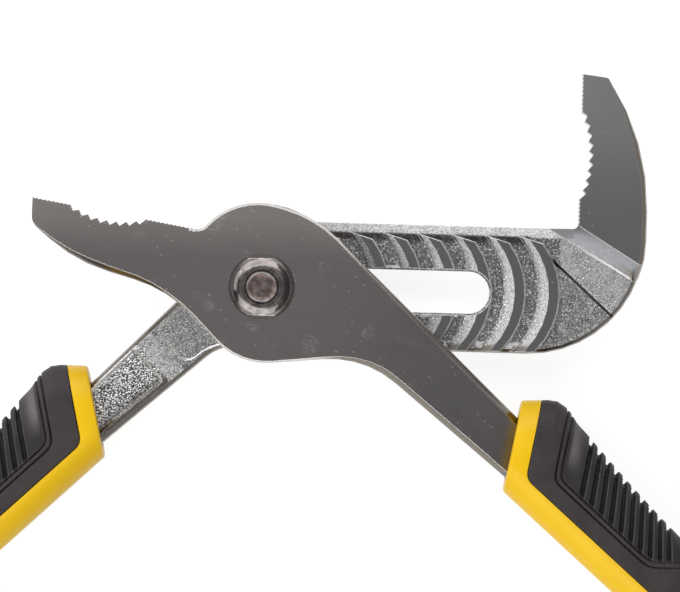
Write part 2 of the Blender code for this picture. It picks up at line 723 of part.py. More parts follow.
def place_in_handle(obj, handle):
    """Set an object drawn in grip coordinates on its handle; a left-hand frame mirrors it."""
    spot = handle.point(0, 0)
    along, out = handle.along, handle.out
    frame = Matrix(((along.x, out.x, 0, spot.x), (along.y, out.y, 0, spot.y), (0, 0, 1, 0), (0, 0, 0, 1)))
    obj.data.transform(frame)
    if frame.determinant() < 0:
        obj.data.flip_normals()
    return obj


def make_grip(prefix, parent, handle):
    """A handle's hard sleeve with its tang hole, and the soft cover that wraps its outer side."""
    def grip_solid(part, *bodies):
        return place_in_handle(solid(f"{prefix}_{part}", bodies, parent), handle)

    reach = 2 * GRIP_THICKNESS
    sleeve = grip_solid("grip_sleeve", grip_rings(0, GRIP_LENGTH))
    cover = grip_solid("grip_cover", grip_rings(0, GRIP_LENGTH))
    core_end = GRIP_LENGTH - COVER_WALL
    core = grip_solid("cover_core", grip_rings(COLLAR_LENGTH / 2, core_end, COVER_WALL))
    zone = grip_solid("cover_zone", prism(cover_zone(0), -reach, reach))
    boolean(cover, zone, "INTERSECT")
    boolean(cover, core, "DIFFERENCE")
    gaps = grip_solid("rib_gaps", *rib_gaps(reach))
    boolean(gaps, grip_solid("rib_floor", grip_rings(0, GRIP_LENGTH, RIB_DEPTH)), "DIFFERENCE")
    boolean(cover, gaps, "DIFFERENCE")

    seat = grip_solid("cover_seat", prism(cover_zone(CLEARANCE), -reach, reach))
    kept_core = grip_rings(COLLAR_LENGTH / 2, core_end - CLEARANCE, COVER_WALL + CLEARANCE)
    boolean(seat, grip_solid("seat_core", kept_core), "DIFFERENCE")
    boolean(sleeve, seat, "DIFFERENCE")
    hole_edges = [
        (*handle.side_edge(True, CLEARANCE), 0),
        (*handle.end_edge(CLEARANCE), 0),
        (*handle.side_edge(False, CLEARANCE), 0),
        (-handle.along, -(handle.start - GRIP_LENGTH / 4), 0),
    ]
    hole = [spot for spot, _ in corners(hole_edges)]
    tang_hole = prism(hole, TANG_REAR - CLEARANCE, TANG_FRONT + CLEARANCE)
    boolean(sleeve, solid(f"{prefix}_tang_hole", [tang_hole], parent), "DIFFERENCE")
    finish(sleeve, (0.90, 0.55, 0.02), 0.40, 0.0)
    finish(cover, (0.035, 0.033, 0.034), 0.65, 0.0)


def make_pliers():
    """Everything, with the tongue lever and its grip turned open about the bolt."""
    for obj in list(bpy.data.objects):
        bpy.data.objects.remove(obj, do_unlink=True)
    opened = bpy.data.objects.new("opened_about_bolt", None)
    opened.rotation_euler.z = math.radians(OPEN_ANGLE)
    bpy.context.scene.collection.objects.link(opened)
    tongue_handle = Handle(TONGUE_HANDLE_ANGLE, TONGUE_GRIP_START, TONGUE_GRIP_OFFSET, 1)
    slotted_handle = Handle(SLOTTED_HANDLE_ANGLE, SLOTTED_GRIP_START, SLOTTED_GRIP_OFFSET, -1)
    make_slotted_lever(slotted_handle)
    make_tongue_lever(opened, tongue_handle)
    make_bolt()
    make_nut()
    make_grip("slotted", None, slotted_handle)
    make_grip("tongue", opened, tongue_handle)


make_pliers()
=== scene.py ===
"""Looks of the water pump pliers: finer grip covers, procedural materials, soft light and the photo's view.

Metres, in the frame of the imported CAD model: X along the slot, Y towards the jaw tips, Z up from the bench.
"""
import json
import math
from types import SimpleNamespace

import bmesh
import bpy
import numpy as np
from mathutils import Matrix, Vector

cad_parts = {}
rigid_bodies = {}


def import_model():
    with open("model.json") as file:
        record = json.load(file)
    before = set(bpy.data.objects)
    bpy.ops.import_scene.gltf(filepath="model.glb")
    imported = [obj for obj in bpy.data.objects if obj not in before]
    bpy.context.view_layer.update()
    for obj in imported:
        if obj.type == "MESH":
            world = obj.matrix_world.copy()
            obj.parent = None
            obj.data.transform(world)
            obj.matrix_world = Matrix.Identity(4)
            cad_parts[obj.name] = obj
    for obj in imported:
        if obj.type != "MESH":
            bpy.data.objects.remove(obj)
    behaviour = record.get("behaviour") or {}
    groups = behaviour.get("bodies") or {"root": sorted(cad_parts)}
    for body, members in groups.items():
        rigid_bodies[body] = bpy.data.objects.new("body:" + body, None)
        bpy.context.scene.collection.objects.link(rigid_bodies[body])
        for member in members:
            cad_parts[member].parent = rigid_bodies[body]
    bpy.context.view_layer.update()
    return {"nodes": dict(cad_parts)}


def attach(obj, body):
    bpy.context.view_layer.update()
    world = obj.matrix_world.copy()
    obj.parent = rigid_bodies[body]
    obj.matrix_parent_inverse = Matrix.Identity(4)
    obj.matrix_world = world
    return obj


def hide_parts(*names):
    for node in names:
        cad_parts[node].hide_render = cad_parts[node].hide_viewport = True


# Grip sizes, as in the CAD model
GRIP_LENGTH = 0.1140
GRIP_THICKNESS = 0.0200
GRIP_FRONT_WIDTH = 0.0192
GRIP_GUARD_WIDTH = 0.0253
GRIP_GUARD_START = 0.0100
GRIP_GUARD_AT = 0.0130
GRIP_WAIST_WIDTH = 0.0208
GRIP_WAIST_AT = 0.0560
GRIP_END_WIDTH = 0.0225
GRIP_SLANT = 0.60
GRIP_OUTER_RADIUS = 0.0075
COLLAR_LENGTH = 0.0057
BAND_WIDTH = 0.0063
RIBS = 10
RIB_PITCH = 0.0028
RIB_START = 0.0064
RIB_DEPTH = 0.0013
RIB_LEAN = 0.61
RIB_FAN = 0.27

# The tongue lever's turn at rest, as in the CAD model, in degrees
TONGUE_TURN = 80.5

# Finer features of the covers, which only the scene has
COVER_SHELL = 0.0016
COVER_FIT = 0.0002
COVER_SHARP = 76
CORNER_RADIUS = 0.0035
EDGE_ROLL = 0.0004
GUARD_ROUND = 0.0003
GUARD_ROUND_REACH = 0.003
FRAME_FRONT = 0.0133
FRAME_LEVEL = 0.0103
FRAME_END = 0.0381
FRAME_END_WAY = (0.679, 0.734)
FRAME_CORNER = 0.0007
FRAME_REACH = 0.03
FRAME_GROOVE = 0.0006
FRAME_BEAD = 0.00128
GROOVE_WIDTH = 0.0002
PANEL_DEPTH = 0.00025
PANEL_EDGE = 0.0006
RIB_FOOT = 0.0003
RIB_FOOT_EDGE = 0.0007

# Places along the row of rib gaps, in pitches: a gap's half floor and its wall, the ribs, the thumb rest
GAP_FLOOR = 0.14
GAP_WALL = 0.15
RIBBED_FROM = -0.6
RIBBED_FADE = 0.3
THUMB_AT = -1.7
THUMB_WIDTH = 0.75

# The thumb rest's other sizes
THUMB_DEPTH = 0.0002
THUMB_LEVEL = 0.0135
THUMB_FADE = 0.006
THUMB_INSET = 0.0018
THUMB_EDGE = 0.001

# How much the panel and its ribbed part darken the covers, and how much painted shade the gaps there get
PANEL_SHADE = 0.5
RIBBED_SHADE = 0.22
GAP_SHADE = 0.23

# Steps of the covers' meshes: across, along, and round each corner and down the side of either skin
COLUMN_STEP = 0.0003
COLUMN_END = 0.0130
FACE_SHARE = 0.95
LEAST_STEP = 0.00001
TURN_COLUMNS = 14
EDGE_STEPS = (0, 0.15, 0.3, 0.5, 0.75)
GROOVE_STEPS = (-0.00042, -0.0003, -0.0002, -0.0001, 0.0, 0.0001, 0.0002, 0.0003, 0.00042)
GROOVE_ROOM = 0.0005
START_STEPS = (0, 0.00003, 0.00008, 0.00015, 0.00025, 0.0004)
STATION_START = 0.0006
STATION_STEP = 0.00025
PLAIN_GAP = 0.0002
PLAIN_STATIONS = 42
PLAIN_COLUMNS = 3
END_STEP = 6
END_TURN = 84
ROUND_SHARE = 0.48
FINE_STEPS = (34, 9)
PLAIN_STEPS = (4, 1)

# Levels on the steel pieces that part the finishes
FLOOR_LEVEL = 0.0080
LAND_LEVEL = 0.0096
JAW_LEVEL = 0.01015
NUT_LEVEL = 0.01525

# Places along the slot that part the slotted lever's finishes
PAD_END = 0.002
BODY_START = 0.005
GLINT_END = 0.0475
JAW_ROOT = 0.0695
HEEL_AT = 0.07325
BODY_END = 0.075
RAMP_END = 0.0889

# Places across the slot that part them
BODY_EDGE = -0.0125
HEEL_EDGE = -0.0095
SLOT_EDGE = 0.00615
RAIL_EDGE = 0.0137
JAW_TIP = 0.05195

# The crease at the jaw's root and the ramp's foot: a direction in degrees and places along it
CREASE_WAY = 48.2
CREASE_START = 0.0525
CREASE_END = 0.0535
RAMP_WAY = 60.0
RAMP_FOOT = 0.0484

# The slotted lever's shank: places along the handle, its sides across the handle, and its taper in degrees
JOGGLE_START = 0.0274
SHANK_START = 0.0320
TROUGH_START = 0.0338
SHANK_INNER = 0.0029
SHANK_OUTER = 0.0151
SHANK_TAPER = 2.1

# Tones: painted shade and dark reflection on the steel's steep sides, worn edges with painted edge
# highlights, the tongue lever's jaw, hub and arm as a painted reflection gradient, and streaks
PAINTED_SIDE_SHADE = (0.215, 0.193, 0.168, 1)
BRIGHT_EDGE = (0.97, 0.97, 0.97, 1)
WORN_LIT_EDGE = (0.95, 0.94, 0.92, 1)
JAW_STEEL = (0.59, 0.542, 0.519, 1)
HUB_STEEL = (0.355, 0.325, 0.323, 1)
ARM_STEEL = (0.235, 0.220, 0.228, 1)
DARK_STREAK = (0.165, 0.153, 0.158, 1)

# Shading: the width of eased edges, what joins a node's triangles, the sharpest smooth edges in degrees
EDGE_EASE = 0.0002
WELD_DISTANCE = 0.00001
SMOOTH_ANGLE = 36
FORGING_ANGLE = 30

# The view, from above the tongue lever's front face, and the bench
VIEW_LEVEL = 0.0169
VIEW_DISTANCE = 1.80
VIEW_WIDTH = 0.1639
VIEW_CENTRE = (0.01895, -0.00167)
VIEW_TURN = 1.6
BENCH_HALF = 1.6
BENCH_LEVEL = -0.0002
BENCH_TONE = (0.33, 0.33, 0.33, 1)
BENCH_GLOW = 0.84


def ease(x):
    """A smooth step from 0 to 1 as x goes from 0 to 1."""
    x = np.clip(x, 0, 1)
    return x * x * (3 - 2 * x)


def grip_width(u):
    """The grip's width at a station, as in the CAD model but with the finger guard's corner rounded."""
    if u < GRIP_GUARD_AT:
        grow = (GRIP_GUARD_WIDTH - GRIP_FRONT_WIDTH) / GRIP_GUARD_START
        room = grow * max(0.0, GRIP_GUARD_START - u)
        rounded = GUARD_ROUND * (1 - ease(abs(u - GRIP_GUARD_START) / GUARD_ROUND_REACH))
        return GRIP_GUARD_WIDTH - room - rounded
    if u < GRIP_WAIST_AT:
        fall = (u - GRIP_GUARD_AT) / (GRIP_WAIST_AT - GRIP_GUARD_AT)
        return GRIP_WAIST_WIDTH + (GRIP_GUARD_WIDTH - GRIP_WAIST_WIDTH) * (1 - fall) ** 2
    rise = (u - GRIP_WAIST_AT) / (GRIP_LENGTH - GRIP_WAIST_AT)
    return GRIP_WAIST_WIDTH + (GRIP_END_WIDTH - GRIP_WAIST_WIDTH) * math.sin(rise * math.pi / 2) ** 2


def with_grooves(even, lines, stretch=1.0):
    """Even steps, with a groove's closer steps in their place about each line."""
    clear = np.abs(even[:, None] - lines).min(axis=1) > GROOVE_ROOM * stretch
    return np.concatenate((even[clear], (lines[:, None] + np.array(GROOVE_STEPS) * stretch).ravel()))


def face_columns(near, top):
    """Places across a flat face, from its inner edge to where it turns over the side."""
    lines = np.array((FRAME_LEVEL, FRAME_LEVEL + FRAME_BEAD))
    start = BAND_WIDTH - COVER_FIT
    even = np.arange(start + EDGE_ROLL, COLUMN_END, COLUMN_STEP)
    rolled = start + np.array(EDGE_STEPS) * EDGE_ROLL
    fixed = np.sort(np.concatenate((rolled, with_grooves(even, lines))))
    squeeze = min(1.0, FACE_SHARE * (top - start) / (COLUMN_END - start))
    fixed = start + (fixed - start) * squeeze
    fixed = np.maximum(fixed, near + LEAST_STEP * np.arange(len(fixed)))
    return np.concatenate((fixed, np.linspace(fixed[-1], top, TURN_COLUMNS)[1:-1]))


def cover_path(near, far, low, high, fine):
    """Points and outward normals across the cover: the front face, round the outer side, the rear face."""
    radius = min(GRIP_OUTER_RADIUS, (high - low) * ROUND_SHARE, (far - near) * ROUND_SHARE)
    top = far - radius
    columns = face_columns(near, top) if fine else np.linspace(near, top, PLAIN_COLUMNS)[:-1]
    arc, side = FINE_STEPS if fine else PLAIN_STEPS
    points = [(v, high) for v in columns]
    normals = [(0.0, 1.0)] * len(columns)
    for start, centre, end in ((90, high - radius, low + radius), (0, low + radius, None)):
        for k in range(arc):
            angle = math.radians(start - 90 * k / arc)
            normals.append((math.cos(angle), math.sin(angle)))
            points.append((top + radius * math.cos(angle), centre + radius * math.sin(angle)))
        if end is not None:
            points += [(far, centre + (end - centre) * k / side) for k in range(side)]
            normals += [(1.0, 0.0)] * side
    points += [(top, low)] + [(v, low) for v in columns[::-1]]
    normals += [(0.0, -1.0)] * (len(columns) + 1)
    return np.array(points), np.array(normals)


def panel_depth(u, v):
    """The cover's sunk features at plan points of the grip: grooves, panel, gaps between ribs, thumb rest.

    Gives the depth, how dark each point is, with painted shade in the grooves and gaps, where the thumb rest
    is worn smooth and gets a painted sheen, and its place along the row of rib gaps.
    """
    front = (u + GRIP_SLANT * v - FRAME_FRONT) / math.hypot(1, GRIP_SLANT)
    level = v - FRAME_LEVEL
    end = (FRAME_END - u) * FRAME_END_WAY[0] + level * FRAME_END_WAY[1]
    sides = np.clip(np.stack((front, level, end)), -FRAME_REACH, FRAME_REACH)
    inside = -FRAME_CORNER * np.log(np.exp(-sides / FRAME_CORNER).sum(0))
    depth, shade = np.zeros_like(u), np.zeros_like(u)
    # Two grooves along the frame, each with painted shade in it
    for line in (0.0, FRAME_BEAD):
        groove = np.exp(-((inside - line) / GROOVE_WIDTH) ** 2)
        depth += FRAME_GROOVE * groove
        shade = np.maximum(shade, groove)
    panel = ease((inside - FRAME_BEAD) / PANEL_EDGE)
    depth += PANEL_DEPTH * panel
    drop = GRIP_GUARD_WIDTH - v
    gap = (u - RIB_START - RIB_LEAN * drop) / (RIB_PITCH + RIB_FAN / (RIBS - 1) * drop)
    away = np.abs(gap - np.clip(np.round(gap), 0, RIBS - 1))
    foot = ease((inside - FRAME_BEAD - RIB_FOOT) / RIB_FOOT_EDGE)
    valley = (1 - ease((away - GAP_FLOOR) / GAP_WALL)) * foot
    depth += RIB_DEPTH * valley
    thumb = np.exp(-((gap - THUMB_AT) / THUMB_WIDTH) ** 2)
    thumb *= ease((v - THUMB_LEVEL) / THUMB_FADE) * ease((inside - THUMB_INSET) / THUMB_EDGE)
    ribbed = ease((gap - RIBBED_FROM) / RIBBED_FADE)
    # The panel and its ribbed part are darker, and the gaps get painted shade
    shade = np.maximum(shade, panel * (PANEL_SHADE + RIBBED_SHADE * ribbed + GAP_SHADE * valley))
    return depth + THUMB_DEPTH * thumb, shade, thumb, gap


class Handle:
    """A handle's frame at rest: along the grip's inner edge, and outwards across it."""

    def __init__(self, angle, start, offset, side):
        self.angle = angle
        self.start = start
        self.offset = offset
        turn = math.radians(angle)
        self.along = np.array((math.cos(turn), math.sin(turn)))
        self.out = np.array((-self.along[1], self.along[0])) * side
        self.corner = self.along * start + self.out * offset

    def place(self, u, v, z):
        """World points for arrays of grip coordinates."""
        plan = self.corner + u[..., None] * self.along + v[..., None] * self.out
        return np.concatenate((plan, z[..., None]), axis=-1)


def near_edge(station):
    """Where the cover starts next to the sleeve's band at a station: a round corner, then straight."""
    radius = CORNER_RADIUS + COVER_FIT
    v = BAND_WIDTH + CORNER_RADIUS
    u = COLLAR_LENGTH - GRIP_SLANT * v + CORNER_RADIUS * math.hypot(1, GRIP_SLANT)
    if station > u + GRIP_SLANT * (v - radius):
        return BAND_WIDTH - COVER_FIT
    square = 1 + GRIP_SLANT**2
    half = v + GRIP_SLANT * (station - u)
    rest = max(0.0, half**2 - square * ((station - u) ** 2 + v**2 - radius**2))
    return (half - math.sqrt(rest)) / square


def cover_start():
    """The station of the cover's edge along the collar."""
    return COLLAR_LENGTH - COVER_FIT * math.hypot(1, GRIP_SLANT)


def cover_row(station, shrink, inset, textured):
    """Grip coordinates across the cover at one station, sunk by inset and by the surface features.

    The last value holds the row's looks: how dark, painted shade included, how worn smooth, with a painted
    sheen, and the place along the row of rib gaps.
    """
    past_guard = (station - GRIP_GUARD_AT) / (GRIP_WAIST_AT - GRIP_GUARD_AT)
    slant = GRIP_SLANT * (1 - min(1.0, max(0.0, past_guard)))
    near, far = near_edge(station), grip_width(station) - shrink
    points, normals = cover_path(near, far, shrink, GRIP_THICKNESS - shrink, textured)
    v, z = points.T
    depth = np.full_like(v, inset)
    looks = [np.zeros_like(v)] * 3
    if textured:
        sunk, *looks = panel_depth(station - slant * v, v)
        to_edge = np.minimum(np.abs(v - near) + np.abs(normals[:, 0]), station - cover_start())
        depth += sunk + EDGE_ROLL * np.clip(1 - to_edge / EDGE_ROLL, 0, 1) ** 2
    v = v - depth * normals[:, 0]
    z = z - depth * normals[:, 1]
    return station - slant * v, v, z, looks


def cover_stations():
    """Stations along a cover with their end shrink: dense over the ribs, sparse on the plain length."""
    stretch = math.hypot(1, GRIP_SLANT)
    lines = np.array((FRAME_FRONT, FRAME_FRONT + FRAME_BEAD * stretch))
    even = np.arange(cover_start() + STATION_START, GRIP_WAIST_AT, STATION_STEP)
    straight_end = GRIP_LENGTH - GRIP_OUTER_RADIUS
    stations = [cover_start() + x for x in START_STEPS]
    stations += list(with_grooves(even, lines, stretch))
    stations += list(np.linspace(GRIP_WAIST_AT + PLAIN_GAP, straight_end, PLAIN_STATIONS))
    rows = [(s, 0.0) for s in sorted(stations)]
    for angle in range(END_STEP, END_TURN + 1, END_STEP):
        turn = math.radians(angle)
        shrink = GRIP_OUTER_RADIUS * (1 - math.cos(turn))
        rows.append((straight_end + GRIP_OUTER_RADIUS * math.sin(turn), shrink))
    return rows


def make_cover(name, handle):
    """A soft cover as a closed shell: a fine outer skin with ribs and grooves, and a plain inner skin."""
    rows = cover_stations()
    bm = bmesh.new()
    layers = [bm.verts.layers.float.new(look) for look in ("panel", "rubbed_sheen", "rib")]
    skins = []
    for inset, textured in ((0.0, True), (COVER_SHELL, False)):
        skin = []
        for station, shrink in rows:
            held = min(station, GRIP_LENGTH - 2 * COVER_SHELL) if inset else station
            u, v, z, looks = cover_row(held, shrink, inset, textured)
            skin.append([bm.verts.new(p) for p in handle.place(u, v, z)])
            for layer, values in zip(layers, looks):
                for vert, value in zip(skin[-1], values):
                    vert[layer] = value
        skins.append(skin)
    outer, inner = skins
    for skin in skins:
        for this, after in zip(skin, skin[1:]):
            for i in range(len(this) - 1):
                bm.faces.new((this[i], this[i + 1], after[i + 1], after[i]))
    for side in (0, -1):
        for k in range(len(rows) - 1):
            bm.faces.new((outer[k][side], outer[k + 1][side], inner[k + 1][side], inner[k][side]))
    bm.faces.new(outer[0] + inner[0][::-1])
    bm.faces.new(outer[-1])
    bm.faces.new(inner[-1])
    bm.faces.new((outer[-1][0], outer[-1][-1], inner[-1][-1], inner[-1][0]))
    bmesh.ops.recalc_face_normals(bm, faces=bm.faces)
    mesh = bpy.data.meshes.new(name)
    bm.to_mesh(mesh)
    bm.free()
    mesh.shade_smooth()
    mesh.set_sharp_from_angle(angle=math.radians(COVER_SHARP))
    piece = bpy.data.objects.new(name, mesh)
    bpy.context.scene.collection.objects.link(piece)
    return piece


def smooth_by_angle(obj, degrees):
    """A modifier that welds a CAD node's triangles and shades it smooth, apart from sharper edges."""
    name = f"smooth_{degrees}"
    group = bpy.data.node_groups.get(name)
    if group is None:
        group = bpy.data.node_groups.new(name, "GeometryNodeTree")
        group.interface.new_socket("Geometry", in_out="INPUT", socket_type="NodeSocketGeometry")
        group.interface.new_socket("Geometry", in_out="OUTPUT", socket_type="NodeSocketGeometry")
        nodes, links = group.nodes, group.links
        start, end = nodes.new("NodeGroupInput"), nodes.new("NodeGroupOutput")
        weld = nodes.new("GeometryNodeMergeByDistance")
        weld.inputs["Distance"].default_value = WELD_DISTANCE
        drop = nodes.new("GeometryNodeRemoveAttribute")
        drop.inputs["Name"].default_value = "custom_normal"
        smooth = nodes.new("GeometryNodeSetShadeSmooth")
        angle = nodes.new("GeometryNodeInputMeshEdgeAngle")
        sharp = nodes.new("FunctionNodeCompare")
        sharp.operation = "GREATER_THAN"
        sharp.inputs["B"].default_value = math.radians(degrees)
        crease = nodes.new("GeometryNodeSetShadeSmooth")
        crease.domain = "EDGE"
        crease.inputs["Shade Smooth"].default_value = False
        links.new(start.outputs[0], weld.inputs["Geometry"])
        links.new(weld.outputs["Geometry"], drop.inputs["Geometry"])
        links.new(drop.outputs["Geometry"], smooth.inputs["Geometry"])
        links.new(smooth.outputs["Geometry"], crease.inputs["Geometry"])
        links.new(angle.outputs["Unsigned Angle"], sharp.inputs["A"])
        links.new(sharp.outputs["Result"], crease.inputs["Selection"])
        links.new(crease.outputs["Geometry"], end.inputs[0])
    obj.modifiers.new(name, "NODES").node_group = group


class Finish:
    """A material's node tree, with short calls for the nodes that the finishes share.

    Masks run from 0 to 1. The plain roughness and metallic hold where no node feeds them.
    """

    def __init__(self, name, roughness, metallic):
        self.material = bpy.data.materials.new(name)
        self.material.use_nodes = True
        self.tree = self.material.node_tree
        self.shader = self.tree.nodes["Principled BSDF"]
        self.shader.inputs["Roughness"].default_value = roughness
        self.shader.inputs["Metallic"].default_value = metallic
        coordinates = self.tree.nodes.new("ShaderNodeTexCoord").outputs
        self.place, self.facing = coordinates["Object"], coordinates["Normal"]

    def node(self, kind, inputs, **settings):
        """A node with its settings and its inputs, each a value or another node's output."""
        made = self.tree.nodes.new(kind)
        for key, value in settings.items():
            setattr(made, key, value)
        for key, value in inputs.items():
            if isinstance(value, bpy.types.NodeSocket):
                self.tree.links.new(value, made.inputs[key])
            else:
                made.inputs[key].default_value = value
        return made

    def feed(self, socket, value):
        """Link a node's output to the shader."""
        self.tree.links.new(value, self.shader.inputs[socket])

    def math(self, operation, first, second=0.0, clamp=False):
        """One step of arithmetic."""
        made = self.node("ShaderNodeMath", {0: first, 1: second}, operation=operation, use_clamp=clamp)
        return made.outputs[0]

    def unsigned(self, value):
        """A value without its sign."""
        return self.math("ABSOLUTE", value)

    def part(self, mask, share):
        """A mask at a share of its strength."""
        return self.math("MULTIPLY", mask, share)

    def both(self, *masks):
        """Where all of the masks hold."""
        share = masks[0]
        for mask in masks[1:]:
            share = self.math("MULTIPLY", share, mask)
        return share

    def either(self, *masks):
        """Where any of the masks holds."""
        share = masks[0]
        for mask in masks[1:]:
            share = self.math("MAXIMUM", share, mask)
        return share

    def spread(self, value, low, high, to_low=0.0, to_high=1.0):
        """A value mapped smoothly from one range to another."""
        return self.node("ShaderNodeMapRange", {"Value": value, "From Min": low, "From Max": high,
                                                "To Min": to_low, "To Max": to_high},
                         interpolation_type="SMOOTHSTEP").outputs[0]

    def past(self, value, place, soft):
        """A mask of the values past a place, soft by so much to either side of it."""
        return self.spread(value, place - soft, place + soft)

    def short(self, value, place, soft):
        """A mask of the values short of a place, soft by so much to either side of it."""
        return self.spread(value, place + soft, place - soft)

    def vary(self, noise, low=0.0, high=1.0):
        """A value that follows soft noise from low to high."""
        return self.spread(noise, 0.3, 0.7, low, high)

    def off(self, mask):
        """Where a mask doesn't hold."""
        return self.short(mask, 0.5, 0.1)

    def mix(self, share, first, second):
        """A colour between two colours."""
        return self.node("ShaderNodeMix", {0: share, 6: first, 7: second}, data_type="RGBA").outputs[2]

    def blend(self, share, first, second):
        """A number between two numbers."""
        return self.node("ShaderNodeMix", {0: share, 2: first, 3: second}, data_type="FLOAT").outputs[0]

    def axes(self):
        """The place along X, Y and Z."""
        return self.node("ShaderNodeSeparateXYZ", {"Vector": self.place}).outputs[:]

    def upward(self):
        """How squarely the surface faces up from the bench."""
        return self.node("ShaderNodeSeparateXYZ", {"Vector": self.facing}).outputs["Z"]

    def steep(self):
        """Where the surface is far from level."""
        return self.short(self.unsigned(self.upward()), 0.89, 0.04)

    def dot(self, first, second):
        """The dot product of two vectors."""
        made = self.node("ShaderNodeVectorMath", {0: first, 1: second}, operation="DOT_PRODUCT")
        return made.outputs["Value"]

    def toward(self, vector, angle):
        """A vector's share along a plan direction in degrees."""
        return self.dot(vector, (math.cos(math.radians(angle)), math.sin(math.radians(angle)), 0.0))

    def stretched(self, scale, turn=0.0):
        """Object coordinates turned about Z by degrees and scaled per axis."""
        spin = self.node("ShaderNodeVectorRotate", {"Vector": self.place, "Angle": math.radians(turn)},
                         rotation_type="Z_AXIS").outputs[0]
        return self.node("ShaderNodeVectorMath", {0: spin, 1: scale}, operation="MULTIPLY").outputs[0]

    def from_axis(self):
        """The distance in plan from the bolt's axis at rest."""
        plan = self.stretched((1.0, 1.0, 0.0))
        return self.node("ShaderNodeVectorMath", {0: plan}, operation="LENGTH").outputs["Value"]

    def noise(self, vector, scale, detail, rough=0.5):
        """Soft noise from 0 to 1."""
        inputs = {"Vector": vector, "Scale": scale, "Detail": detail, "Roughness": rough}
        return self.node("ShaderNodeTexNoise", inputs).outputs["Fac"]

    def cells(self, vector, scale, **settings):
        """The distance to the nearest of many strewn points."""
        inputs = {"Vector": vector, "Scale": scale}
        return self.node("ShaderNodeTexVoronoi", inputs, **settings).outputs["Distance"]

    def nicks(self, scale, radius):
        """A mask of small round nicks strewn over the plan, their radius a share of their spacing."""
        spots = self.cells(self.place, scale, voronoi_dimensions="2D")
        some = self.noise(self.place, scale * 0.6, 1.0)
        return self.both(self.spread(spots, radius, radius * 0.5), self.past(some, 0.56, 0.04))

    def scratches(self, turn, width, length, share):
        """A mask of short thin scratches in one direction."""
        cell = self.cells(self.stretched((1 / length, 1 / width, 1.0), turn), 1.0)
        patch = self.noise(self.place, 90.0, 2.0)
        return self.both(self.spread(cell, share, share * 0.4), self.past(patch, 0.54, 0.06))

    def eased_normal(self):
        """The surface normal with hard edges eased."""
        return self.node("ShaderNodeBevel", {"Radius": EDGE_EASE}, samples=8).outputs[0]

    def edges(self):
        """A mask of the outer and inner edges."""
        flat = self.tree.nodes.new("ShaderNodeNewGeometry").outputs["Normal"]
        return self.short(self.dot(self.eased_normal(), flat), 0.97, 0.02)

    def bump(self, value, distance, strength, after=None):
        """A normal roughened by a height, on top of the surface's own or of another normal."""
        inputs = {"Height": value, "Distance": distance, "Strength": strength}
        if after is not None:
            inputs["Normal"] = after
        return self.node("ShaderNodeBump", inputs).outputs[0]


def polished_steel(name, handle):
    """Flat polished steel, with a painted reflection gradient warm at the jaw and dark by the grip,
    scratches, nicks, and edge wear with painted edge highlights.
    """
    finish = Finish(name, 0.26, 1.0)
    toward_jaw = finish.toward(finish.place, 135.0)
    toward_face = finish.toward(finish.place, TONGUE_TURN)
    toward_tip = finish.toward(finish.place, TONGUE_TURN + 90.0)
    from_bolt = finish.from_axis()

    # Marks in the polish
    lines = finish.noise(finish.stretched((60.0, 1500.0, 60.0), 4.0), 1.0, 3.0)
    patch = finish.noise(finish.place, 130.0, 1.0)
    streaks = finish.noise(finish.stretched((700.0, 4500.0, 700.0), 12.0), 1.0, 2.0)
    smudge = finish.both(finish.past(patch, 0.65, 0.05), finish.past(streaks, 0.54, 0.08), 0.45)
    marks = finish.math("ADD", finish.scratches(28.0, 0.0010, 0.008, 0.10),
                        finish.scratches(-52.0, 0.0009, 0.006, 0.10), clamp=True)
    marks = finish.math("ADD", marks, finish.math("ADD", finish.nicks(260.0, 0.05), smudge), clamp=True)

    # Tones of the faces: a painted reflection gradient from the dark arm over the hub to the warm jaw, with
    # random streaks and clouds, and marks
    base = finish.mix(finish.spread(toward_jaw, -0.070, -0.005), ARM_STEEL, HUB_STEEL)
    dull = finish.noise(finish.stretched((35.0, 130.0, 35.0), -handle.angle), 1.0, 2.0)
    on_arm = finish.spread(toward_jaw, -0.020, -0.045)
    base = finish.mix(finish.both(on_arm, finish.spread(dull, 0.42, 0.60, 0.0, 0.4)), base, DARK_STREAK)
    base = finish.mix(finish.spread(finish.toward(finish.place, 90.0), 0.005, 0.020), base, JAW_STEEL)
    cloud = finish.noise(finish.place, 55.0, 2.0)
    base = finish.mix(finish.spread(cloud, 0.35, 0.65, 0.0, 0.20), base, HUB_STEEL)
    base = finish.mix(finish.part(marks, 0.6), base, (0.80, 0.79, 0.78, 1))

    # Painted dark reflection on the steep sides, paler round the hub, and bright worn edges with painted edge
    # highlights
    rim = finish.mix(finish.spread(from_bolt, 0.0200, 0.0265), (0.58, 0.56, 0.54, 1), PAINTED_SIDE_SHADE)
    base = finish.mix(finish.steep(), base, rim)
    off_face = finish.either(finish.short(toward_face, 0.0069, 0.0003),
                             finish.short(toward_tip, 0.0210, 0.0010))
    worn_and_lit = finish.both(finish.edges(), off_face, finish.short(toward_tip, 0.05675, 0.00025),
                       finish.past(from_bolt, 0.00875, 0.00025))
    finish.feed("Base Color", finish.mix(worn_and_lit, base, WORN_LIT_EDGE))

    rough = finish.vary(lines, 0.255, 0.27)
    finish.feed("Roughness", finish.math("ADD", rough, finish.part(marks, 0.15)))
    relief = finish.math("SUBTRACT", lines, finish.part(marks, 0.8))
    finish.feed("Normal", finish.bump(relief, 0.000003, 0.15, finish.eased_normal()))
    return finish.material


